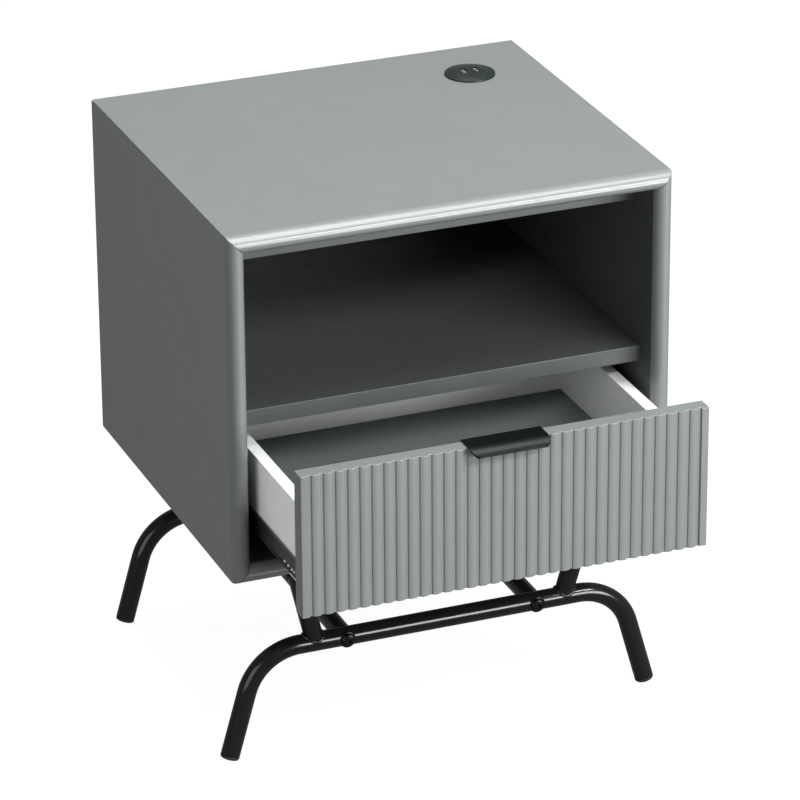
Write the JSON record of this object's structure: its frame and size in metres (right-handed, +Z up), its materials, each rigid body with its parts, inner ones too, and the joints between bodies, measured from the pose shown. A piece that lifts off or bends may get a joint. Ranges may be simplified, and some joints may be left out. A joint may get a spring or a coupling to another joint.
{
  "type": "side table with drawer",
  "caption": "Side table with an open niche over a reeded drawer on ball slides, a round USB outlet in the top and a splayed base of bent steel tube",
  "frame": {"origin": "On the floor, under the middle of the footprint's bounding box with the drawer standing open by 140 mm", "axes": "+Z up. The drawer's front faces -Y and the back panel faces +Y. +X is to the right seen from the front"},
  "size_m": [0.459, 0.541, 0.565],
  "materials": {
    "sage_lacquer": "satin sage grey lacquer",
    "white_board": "white melamine-faced board",
    "floor_board": "dark linen-textured board facing",
    "usb_tongue": "moulded white",
    "black_steel": "satin black powder coat",
    "black_plastic": "moulded charcoal",
    "zinc_steel": "bright zinc plate",
    "circuit_board": "solder mask"
  },
  "bodies": {
    "frame": {"top_panel": "sage_lacquer", "bottom_panel": "sage_lacquer", "side_panel_left": "sage_lacquer", "side_panel_right": "sage_lacquer", "back_panel": "sage_lacquer", "shelf_panel": "sage_lacquer", "top_front_rail": "sage_lacquer", "usb_tongue_left": "usb_tongue", "usb_tongue_right": "usb_tongue", "front_leg_tube": "black_steel", "rear_leg_tube": "black_steel", "cross_bar_left": "black_steel", "cross_bar_right": "black_steel", "front_upright_left": "black_steel", "front_upright_right": "black_steel", "rear_upright_left": "black_steel", "rear_upright_right": "black_steel", "front_bolt_left": "black_steel", "front_bolt_right": "black_steel", "rear_bolt_left": "black_steel", "rear_bolt_right": "black_steel", "mounting_plate_front_left": "black_steel", "mounting_plate_front_right": "black_steel", "mounting_plate_rear_left": "black_steel", "mounting_plate_rear_right": "black_steel", "slide_cabinet_member_left": "black_steel", "slide_cabinet_member_right": "black_steel", "usb_housing": "black_plastic", "usb_nut": "black_plastic", "front_glide_left": "black_plastic", "front_glide_right": "black_plastic", "rear_glide_left": "black_plastic", "rear_glide_right": "black_plastic", "usb_port_left": "zinc_steel", "usb_port_right": "zinc_steel", "front_bar_nut_left": "zinc_steel", "front_bar_nut_right": "zinc_steel", "rear_bar_nut_left": "zinc_steel", "rear_bar_nut_right": "zinc_steel", "plate_screw_front_left_a": "zinc_steel", "plate_screw_front_left_b": "zinc_steel", "plate_screw_front_right_a": "zinc_steel", "plate_screw_front_right_b": "zinc_steel", "plate_screw_rear_left_a": "zinc_steel", "plate_screw_rear_left_b": "zinc_steel", "plate_screw_rear_right_a": "zinc_steel", "plate_screw_rear_right_b": "zinc_steel", "usb_circuit_board": "circuit_board"},
    "drawer": {"drawer_front": "sage_lacquer", "drawer_side_left": "white_board", "drawer_side_right": "white_board", "drawer_back": "white_board", "drawer_floor": "floor_board", "drawer_handle": "black_steel", "handle_screw_left": "black_steel", "handle_screw_right": "black_steel", "slide_drawer_member_left": "black_steel", "slide_drawer_member_right": "black_steel"},
    "slide_cage_left": {"slide_cage_left": "zinc_steel"},
    "slide_cage_right": {"slide_cage_right": "zinc_steel"}
  },
  "joints": [
    {"name": "drawer_slide", "type": "slide", "parent": "frame", "child": "drawer", "axis": [0, -1, 0], "range_m": [-0.14, 0.08]},
    {"name": "cage_slide_left", "type": "slide", "parent": "frame", "child": "slide_cage_left", "axis": [0, -1, 0], "range_m": [-0.07, 0.04]},
    {"name": "cage_slide_right", "type": "slide", "parent": "frame", "child": "slide_cage_right", "axis": [0, -1, 0], "range_m": [-0.07, 0.04]}
  ],
  "couplings": [
    {"joint": "cage_slide_left", "follows": "drawer_slide", "ratio": 0.5},
    {"joint": "cage_slide_right", "follows": "drawer_slide", "ratio": 0.5}
  ]
}
